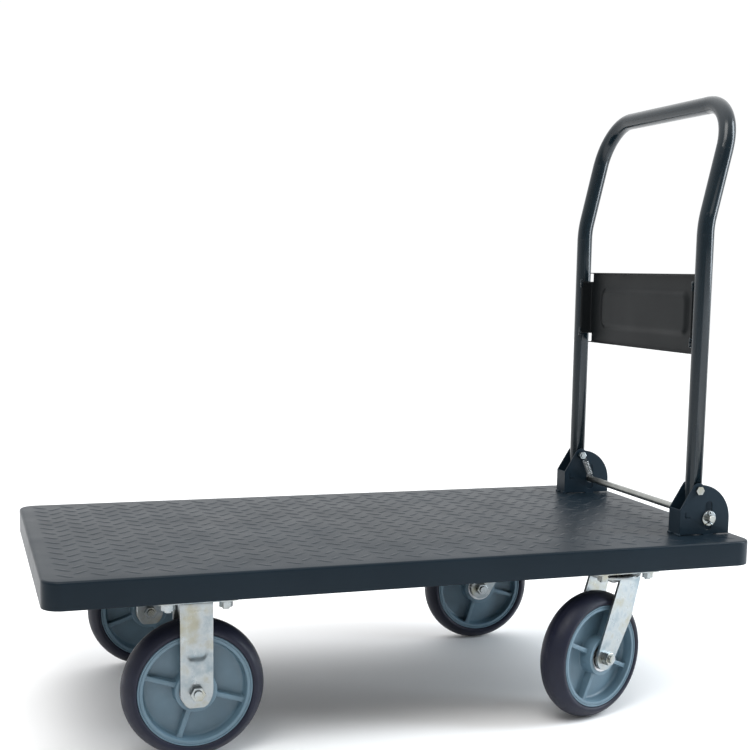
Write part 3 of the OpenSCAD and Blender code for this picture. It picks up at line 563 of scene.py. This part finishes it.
# One folded strip: up the near leg, over the roof and down the far leg
def makeFixedFork(side, look):
    low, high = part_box("fixed_fork_" + side)
    axleZ = wheelLook["radius"]
    centre = (low + high) / 2
    roof = high.z
    look = dict(look, top=roof - axleZ - 0.012)
    legTop = roof - look["bend"]
    foot = axleZ - look["below"]
    path = []
    count = 64
    for i in range(count + 1):
        path.append((-look["outer"], foot + (legTop - foot) * i / count, (-1, 0), True))
    for i in range(1, 8):
        a = math.radians(90 * i / 8)
        path.append((-look["outer"] + look["bend"] * (1 - math.cos(a)),
                     legTop + look["bend"] * math.sin(a), (-math.cos(a), math.sin(a)), False))
    for i in range(5):
        path.append(((-look["outer"] + look["bend"]) * (1 - i / 4), roof, (0, 1), False))
    path += [(-y, z, (-n[0], n[1]), leg) for y, z, n, leg in reversed(path[:-1])]
    across = 28
    outer, inner = [], []
    bm = bmesh.new()
    for y, z, normal, leg in path:
        rise = z - foot
        half = look["legHalf"]
        if leg and rise < look["taper"]:
            t = rise / look["taper"]
            half = look["footHalf"] + (half - look["footHalf"]) * math.sin(t * math.pi / 2) ** 0.85
        if leg and rise < 0.003:
            half -= 0.0022 * (1 - rise / 0.003) ** 2
        outerRow, innerRow = [], []
        for k in range(across + 1):
            x = half * (2 * k / across - 1)
            dent = stampDepth(x, z - axleZ, look) if leg else 0.0
            soft = 0.0007 * max(0.0, (abs(x) - half + 0.0012) / 0.0012) ** 2
            place = Vector((centre.x + x, centre.y + y, z))
            push = Vector((0, normal[0], normal[1]))
            outerRow.append(bm.verts.new(place - push * (dent + soft)))
            innerRow.append(bm.verts.new(place - push * (look["sheet"] + dent - soft)))
        outer.append(outerRow)
        inner.append(innerRow)
    for rows, flip in ((outer, False), (inner, True)):
        for a, b in zip(rows, rows[1:]):
            for k in range(across):
                quad = (a[k], a[k + 1], b[k + 1], b[k])
                bm.faces.new(tuple(reversed(quad)) if flip else quad)
    for i in range(len(outer) - 1):
        for k in (0, across):
            bm.faces.new((outer[i][k], outer[i + 1][k], inner[i + 1][k], inner[i][k]))
    for i in (0, len(outer) - 1):
        for k in range(across):
            bm.faces.new((outer[i][k], outer[i][k + 1], inner[i][k + 1], inner[i][k]))
    fork = meshObject("pressed_fork_" + side, bm, zincSheet, "chassis")
    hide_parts("fixed_fork_" + side)


for side in sides:
    makeFixedFork(side, forkLook)
print("fixed forks made")


# The handle panel: a thin sheet with a pressed field
panelLook = {
    "sheet": 0.0015,
    "lip": 0.0090,
    "bend": 0.0026,
    "fieldMarginY": 0.044,
    "fieldMarginZ": 0.0265,
    "fieldCorner": 0.020,
    "fieldSlope": 0.011,
    "fieldDepth": 0.0042,
    "relief": 0.006,
    "tabHalf": 0.051,
}


def fieldRise(y, z, halfY, halfZ, look):
    corner = look["fieldCorner"]
    dx = abs(y) - halfY + look["fieldMarginY"] + corner
    dz = abs(z) - halfZ + look["fieldMarginZ"] + corner
    away = math.hypot(max(dx, 0), max(dz, 0)) + min(max(dx, dz), 0) - corner
    t = min(1.0, max(0.0, -away / look["fieldSlope"]))
    return look["fieldDepth"] * t * t * (3 - 2 * t)


# One sheet with a lip folded forward along its top and foot and a tab at each end, open at the corners
def makePanel(look):
    low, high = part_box("handle_panel")
    middle = (low + high) / 2
    halfY, halfZ = (high.y - low.y) / 2, (high.z - low.z) / 2
    face = high.x - look["sheet"] / 2
    sheet, bend = look["sheet"], look["bend"]
    tabDepth, tabHalf = high.x - low.x, look["tabHalf"]

    # (forward, sideways) from one edge to the other, folded at both ends
    def folded(half, depth, steps):
        edge = half - sheet / 2
        out = [(depth - sheet / 2 - (depth - bend) * i / 5, -edge) for i in range(5)]
        out += [(bend - bend * math.sin(a), -edge + bend - bend * math.cos(a))
                for a in [math.radians(90 * i / 6) for i in range(7)]]
        span = edge - bend
        out += [(0.0, -span + 2 * span * i / steps) for i in range(1, steps)]
        return out + [(f, -s) for f, s in reversed(out[:12])]

    acrossList = folded(halfY, tabDepth, 130)
    upList = folded(halfZ, look["lip"], 46)
    bm = bmesh.new()
    grid = {}
    for i, (forwardY, y) in enumerate(acrossList):
        for j, (forwardZ, z) in enumerate(upList):
            inTab = forwardY > 0.0 or abs(y) > halfY - look["relief"]
            inLip = abs(z) > tabHalf
            if inTab and inLip:
                continue
            rise = 0.0 if inTab else fieldRise(y, z, halfY, halfZ, look)
            grid[i, j] = bm.verts.new((face - forwardY - forwardZ - rise, y, middle.z + z))
    for i, j in grid:
        ring = [(i, j), (i + 1, j), (i + 1, j + 1), (i, j + 1)]
        if all(c in grid for c in ring):
            bm.faces.new([grid[c] for c in ring])
    loose = [v for v in bm.verts if not v.link_faces]
    bmesh.ops.delete(bm, geom=loose, context="VERTS")
    panel = meshObject("pressed_panel", bm, panelPaint, "handle")
    thick = panel.modifiers.new("sheet", "SOLIDIFY")
    thick.thickness = sheet
    thick.offset = 0.0
    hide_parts("handle_panel")


makePanel(panelLook)
print("panel made")


# The return springs: a hook over the pivot bolt, the coils and a hook round the lock rod
springLook = {
    "wire": 0.0013,
    "coil": 0.0128,
    "turns": 9.5,
    "hookTop": 0.0051,
    "hookLow": 0.0072,
    "legEnd": 0.0085,
    "coilStart": 0.0110,
    "coilGap": 0.0026,
    "stretchTop": 0.010,
    "stretchLow": 0.008,
}


def makeSpring(side, look):
    sign = sides[side]
    pivot = Vector(joints["handle_fold"]["pos_m"])
    rod = centreOf("lock_rod")
    low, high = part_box("spring_" + side)
    middleY = (low.y + high.y) / 2
    hookY = (high.y if side == "far" else low.y) - sign * look["wire"] / 2
    start = Vector((pivot.x, middleY, pivot.z))
    down = Vector((rod.x - pivot.x, 0, rod.z - pivot.z))
    span = down.length
    down.normalize()
    sideways = Vector((0, 1, 0)).cross(down)
    r = (look["coil"] - look["wire"]) / 2

    def at(u, y, along):
        return Vector((start.x, y, start.z)) + sideways * u + down * along

    points = [at(look["hookTop"] * math.cos(a), hookY, -look["hookTop"] * math.sin(a))
              for a in [math.radians(v) for v in range(-70, 181, 15)]]
    points.append(at(-look["hookTop"], hookY, look["legEnd"]))
    coilStart, coilEnd = look["coilStart"], span - look["hookLow"] - look["coilGap"]
    steps = int(look["turns"] * 24)
    for i in range(steps + 1):
        a = math.radians(150 - 360 * look["turns"] * i / steps)
        along = coilStart + (coilEnd - coilStart) * i / steps
        points.append(at(r * math.cos(a), middleY + sign * r * math.sin(a), along))
    points += [at(look["hookLow"] * math.cos(a), hookY, span + look["hookLow"] * math.sin(a))
               for a in [math.radians(v) for v in range(0, 211, 15)]]
    bm = bmesh.new()
    tubeAlong(bm, points, look["wire"] / 2, 10)
    spring = meshObject("wire_spring_" + side, bm, springWire, None)
    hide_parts("spring_" + side)
    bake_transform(spring)


for side in sides:
    makeSpring(side, springLook)
print("springs made")


# Weld beads: low ones beside the brackets' tongues, a run along each bracket's front web, and short
# runs at both ends of the handle panel's tabs
weldLook = {
    "seed": 41,
    "tongueBeads": 7,
    "tonguePitch": 0.0023,
    "tongueBead": (0.0024, 0.0024, 0.0010),
    "webBeads": 12,
    "webBead": (0.0022, 0.0028, 0.0021),
    "panelBeads": 4,
    "panelPitch": 0.0036,
    "panelBead": (0.0028, 0.0026, 0.0027),
    "panelReach": 0.0455,
    "shake": 0.0004,
    "webShake": 0.0006,
}


def makeWelds(look):
    rng = random.Random(look["seed"])
    shake, webShake = look["shake"], look["webShake"]
    rodX = centreOf("lock_rod").x
    bm = bmesh.new()
    for side in sides:
        low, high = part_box("bracket_" + side)
        for y, out in ((low.y, -1), (high.y, 1)):
            for i in range(look["tongueBeads"]):
                x = rodX + (i - (look["tongueBeads"] - 1) / 2) * look["tonguePitch"]
                x += rng.uniform(-shake, shake)
                addLump(bm, (x, y + out * 0.0002, deckTop + 0.0001), look["tongueBead"], rng, 2)
        middle = (look["webBeads"] - 1) / 2
        for i in range(look["webBeads"]):
            y = low.y + (high.y - low.y) * (i + 0.5) / look["webBeads"]
            y += rng.uniform(-webShake, webShake)
            if abs(i - middle) > 2.4:
                addLump(bm, (low.x - 0.0002, y, deckTop + 0.0012), look["webBead"], rng, 2)
    meshObject("bracket_welds", bm, bracketPaint, "chassis")
    bm = bmesh.new()
    low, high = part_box("handle_panel")
    middleZ = (low.z + high.z) / 2
    for y, out in ((low.y, -1), (high.y, 1)):
        for end in (middleZ - look["panelReach"], middleZ + look["panelReach"]):
            for i in range(look["panelBeads"]):
                z = end + (i - (look["panelBeads"] - 1) / 2) * look["panelPitch"]
                z += rng.uniform(-shake, shake)
                addLump(bm, (low.x + 0.0006, y - out * 0.0002, z), look["panelBead"], rng, 2)
    meshObject("panel_welds", bm, tubePaint, "handle")


makeWelds(weldLook)
print("welds made")


# How far the edges of the machined and folded parts are rounded, by the start of the node's name
edgeWidths = {
    "bracket": 0.0006, "fixed_plate": 0.0007, "swivel_plate": 0.0007, "swivel_fork": 0.0007,
    "caster_nuts": 0.0004, "caster_bolts": 0.0004, "fixed_axle": 0.0005, "swivel_axle": 0.0005,
    "pivot_bolts": 0.0005, "pivot_nuts": 0.0004, "lock_rod_washers": 0.0003, "cross_channel": 0.0006,
    "king_": 0.0004, "caster_washers": 0.0002,
}


# The joins of the handle tube's lengths are closed up, and sharp edges get a small round
def softenEdges(widths):
    seam = nodes["handle_tube"].modifiers.new("join", "WELD")
    seam.merge_threshold = tubeJoin
    for nodeName, cadObject in nodes.items():
        if cadObject.hide_render:
            continue
        width = next((w for start, w in widths.items() if nodeName.startswith(start)), None)
        if width is None:
            continue
        weld = cadObject.modifiers.new("join", "WELD")
        weld.merge_threshold = 0.00001
        bevel = cadObject.modifiers.new("edges", "BEVEL")
        bevel.width = width
        bevel.segments = 2
        bevel.limit_method = "ANGLE"
        bevel.angle_limit = math.radians(40)
        bevel.harden_normals = False
        bevel.use_clamp_overlap = True


tubeJoin = 0.0006
softenEdges(edgeWidths)
print("edges softened")


# The camera: place in metres, turns in degrees
view = {
    "place": (-0.65016, -2.05778, 0.69040),
    "yaw": 21.87,
    "pitch": 7.68,
    "roll": 1.44,
    "lens": 62.63,
    "shift": (-0.1313, 0.1054),
}


def makeCamera(look):
    yaw, pitch, roll = (math.radians(look[k]) for k in ("yaw", "pitch", "roll"))
    ahead = Vector((math.sin(yaw) * math.cos(pitch), math.cos(yaw) * math.cos(pitch), -math.sin(pitch)))
    right = Vector((math.cos(yaw), -math.sin(yaw), 0))
    up = right.cross(ahead)
    levelRight = math.cos(roll) * right + math.sin(roll) * up
    levelUp = -math.sin(roll) * right + math.cos(roll) * up
    camera = bpy.data.cameras.new("camera")
    camera.sensor_width = 36.0
    camera.lens = look["lens"]
    camera.shift_x, camera.shift_y = look["shift"]
    camera.clip_start, camera.clip_end = 0.05, 50.0
    obj = bpy.data.objects.new("camera", camera)
    turn = Matrix((levelRight, levelUp, -ahead)).transposed().to_4x4()
    obj.matrix_world = Matrix.Translation(look["place"]) @ turn
    bpy.context.scene.collection.objects.link(obj)
    bpy.context.scene.camera = obj


def makeFloor():
    bm = bmesh.new()
    bmesh.ops.create_grid(bm, x_segments=2, y_segments=2, size=12.0)
    mesh = bpy.data.meshes.new("floor")
    bm.to_mesh(mesh)
    bm.free()
    floor = bpy.data.objects.new("floor", mesh)
    floor.location.z = -0.0002
    bpy.context.scene.collection.objects.link(floor)
    mat, tree, bsdf, link = newMaterial("floor_paper")
    paper = addNoise(tree, 3.0, 3.0)
    link(addRamp(tree, paper.outputs["Fac"], [(0.3, (0.93, 0.93, 0.93)), (0.7, (0.95, 0.95, 0.95))])
         .outputs["Color"], bsdf.inputs["Base Color"])
    bsdf.inputs["Roughness"].default_value = 0.9
    mesh.materials.append(mat)


def addLamp(name, place, aim, size, power, tint=(1, 1, 1)):
    lamp = bpy.data.lights.new(name, "AREA")
    lamp.shape = "RECTANGLE"
    lamp.size, lamp.size_y = size
    lamp.energy = power
    lamp.color = tint
    obj = bpy.data.objects.new(name, lamp)
    obj.location = place
    obj.rotation_euler = (Vector(aim) - Vector(place)).to_track_quat("-Z", "Y").to_euler()
    bpy.context.scene.collection.objects.link(obj)


# The room is bright behind the cart and overhead, darker behind the viewer, with a white backdrop
def makeLight():
    world = bpy.data.worlds.new("studio")
    bpy.context.scene.world = world
    world.use_nodes = True
    tree = world.node_tree
    back = tree.nodes["Background"]
    coords = tree.nodes.new("ShaderNodeTexCoord")
    split = tree.nodes.new("ShaderNodeSeparateXYZ")
    tree.links.new(coords.outputs["Generated"], split.inputs["Vector"])
    fade = addRange(tree, split.outputs["Y"], 0.22, 1.02, -0.5, 0.35)
    lift = addRange(tree, split.outputs["Z"], 0.0, 1.2, 0.35, 1.0)
    total = tree.nodes.new("ShaderNodeMath")
    tree.links.new(fade.outputs["Result"], total.inputs[0])
    tree.links.new(lift.outputs["Result"], total.inputs[1])
    seen = tree.nodes.new("ShaderNodeLightPath")
    shown = tree.nodes.new("ShaderNodeMix")
    shown.inputs["B"].default_value = 1.03
    tree.links.new(seen.outputs["Is Camera Ray"], shown.inputs["Factor"])
    tree.links.new(total.outputs["Value"], shown.inputs["A"])
    tree.links.new(shown.outputs["Result"], back.inputs["Strength"])
    back.inputs["Color"].default_value = (0.985, 0.993, 1.0, 1.0)
    addLamp("key_light", (-1.2, -1.6, 3.2), (0, 0, 0.2), (1.8, 1.8), 60, (1.0, 0.99, 0.97))
    addLamp("side_light", (2.5, -1.0, 1.4), (0.45, -0.1, 0.6), (0.8, 2.4), 75, (0.84, 0.93, 1.0))
    bpy.context.scene.view_settings.view_transform = "Standard"


makeCamera(view)
makeFloor()
makeLight()
print("camera, floor and light set")
